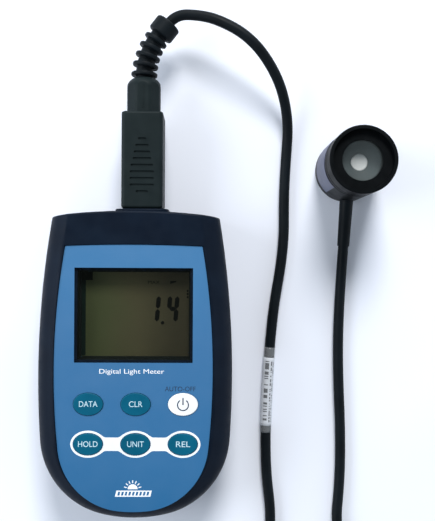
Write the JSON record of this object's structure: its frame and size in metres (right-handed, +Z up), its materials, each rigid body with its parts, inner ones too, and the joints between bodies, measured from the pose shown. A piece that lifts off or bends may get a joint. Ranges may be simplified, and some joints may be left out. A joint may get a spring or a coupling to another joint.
{
  "type": "handheld light meter",
  "caption": "Handheld light meter with a display, six keys and a battery door, and a plug-in probe: grooved module, black cable and a cylindrical sensor head.",
  "frame": {"origin": "middle of the meter's flat back, on the surface it lies on", "axes": "+Z up out of the display, +Y towards the probe socket, +X to the right of the display"},
  "size_m": [0.1609, 0.3341, 0.046],
  "materials": {
    "case_plastic": "fine-textured navy ABS",
    "overlay_print": "satin printed polyester sheet, blue",
    "clear_window": "clear polished acrylic",
    "black_plastic": "matt black",
    "lcd_glass": "display glass, olive grey",
    "reflector": "matt reflector sheet",
    "soft_rubber": "silicone",
    "contact_metal": "nickel plated",
    "board_green": "solder mask over glass fibre",
    "chip_black": "moulded package",
    "can_metal": "drawn can",
    "screw_steel": "zinc plated",
    "brass": "turned",
    "pin_gold": "gold flash",
    "module_plastic": "spark-eroded dark grey ABS",
    "cable_rubber": "satin black PVC",
    "tie_fabric": "woven hook-and-loop strap",
    "label_paper": "white printed film",
    "clear_sleeve": "clear heat-shrink tube",
    "head_black": "black anodised, satin",
    "lens_glass": "polished optical glass",
    "holder_grey": "matt dark grey",
    "diffuser_white": "opal diffuser",
    "filter_glass": "green correction glass",
    "head_label": "satin pale film",
    "cell_wrap": "printed shrink wrap",
    "key_teal": "satin teal",
    "key_white": "satin white"
  },
  "bodies": {
    "meter": {"batteries": "cell_wrap", "board_chips": "chip_black", "board_parts": "can_metal", "board_screws": "screw_steel", "case_screws": "screw_steel", "contact_plates": "contact_metal", "contact_springs": "contact_metal", "display_window": "clear_window", "door_insert": "brass", "front_shell": "case_plastic", "keypad_overlay": "overlay_print", "lcd_backplate": "reflector", "lcd_frame": "black_plastic", "lcd_glass": "lcd_glass", "main_board": "board_green", "probe_socket": "black_plastic", "rear_shell": "case_plastic", "snap_domes": "contact_metal", "socket_board": "board_green", "socket_collar": "case_plastic", "socket_pins": "pin_gold", "socket_shield": "contact_metal", "zebra_strips": "soft_rubber"},
    "key_clear_cap": {"key_clear": "key_teal"},
    "key_data_cap": {"key_data": "key_teal"},
    "key_hold_cap": {"key_hold": "key_teal"},
    "key_power_cap": {"key_power": "key_white"},
    "key_relative_cap": {"key_relative": "key_teal"},
    "key_unit_cap": {"key_unit": "key_teal"},
    "door": {"battery_door": "case_plastic", "door_screw": "screw_steel"},
    "probe": {"module_upper_shell": "module_plastic", "module_lower_shell": "module_plastic", "module_shield": "contact_metal", "module_insulator": "black_plastic", "module_contacts": "pin_gold", "module_board": "board_green", "module_chip": "chip_black", "cable_plug": "module_plastic", "strain_relief": "cable_rubber", "relief_collar": "cable_rubber", "cable_to_meter": "cable_rubber", "cable_to_head": "cable_rubber", "cable_coil": "cable_rubber", "coil_tie": "tie_fabric", "cable_label": "label_paper", "label_sleeve": "clear_sleeve", "head_base": "head_black", "head_barrel": "head_black", "head_hood": "head_black", "head_lens": "lens_glass", "lens_ring": "head_black", "detector_holder": "holder_grey", "diffuser": "diffuser_white", "colour_filter": "filter_glass", "photodiode": "can_metal", "head_board": "board_green", "head_label": "head_label", "head_boot": "cable_rubber"}
  },
  "joints": [
    {"name": "key_clear_press", "type": "slide", "parent": "meter", "child": "key_clear_cap", "axis": [0, 0, -1], "range_m": [0, 0.0004], "stiffness_N_per_m": 600, "springref_m": -0.0006},
    {"name": "key_data_press", "type": "slide", "parent": "meter", "child": "key_data_cap", "axis": [0, 0, -1], "range_m": [0, 0.0004], "stiffness_N_per_m": 600, "springref_m": -0.0006},
    {"name": "key_hold_press", "type": "slide", "parent": "meter", "child": "key_hold_cap", "axis": [0, 0, -1], "range_m": [0, 0.0004], "stiffness_N_per_m": 600, "springref_m": -0.0006},
    {"name": "key_power_press", "type": "slide", "parent": "meter", "child": "key_power_cap", "axis": [0, 0, -1], "range_m": [0, 0.0004], "stiffness_N_per_m": 600, "springref_m": -0.0006},
    {"name": "key_relative_press", "type": "slide", "parent": "meter", "child": "key_relative_cap", "axis": [0, 0, -1], "range_m": [0, 0.0004], "stiffness_N_per_m": 600, "springref_m": -0.0006},
    {"name": "key_unit_press", "type": "slide", "parent": "meter", "child": "key_unit_cap", "axis": [0, 0, -1], "range_m": [0, 0.0004], "stiffness_N_per_m": 600, "springref_m": -0.0006},
    {"name": "door_lift_off", "type": "slide", "parent": "meter", "child": "door", "axis": [0, 0, -1], "range_m": [0, 0.02]},
    {"name": "probe_unplug", "type": "slide", "parent": "meter", "child": "probe", "axis": [0, 1, 0], "range_m": [0, 0.012]}
  ]
}
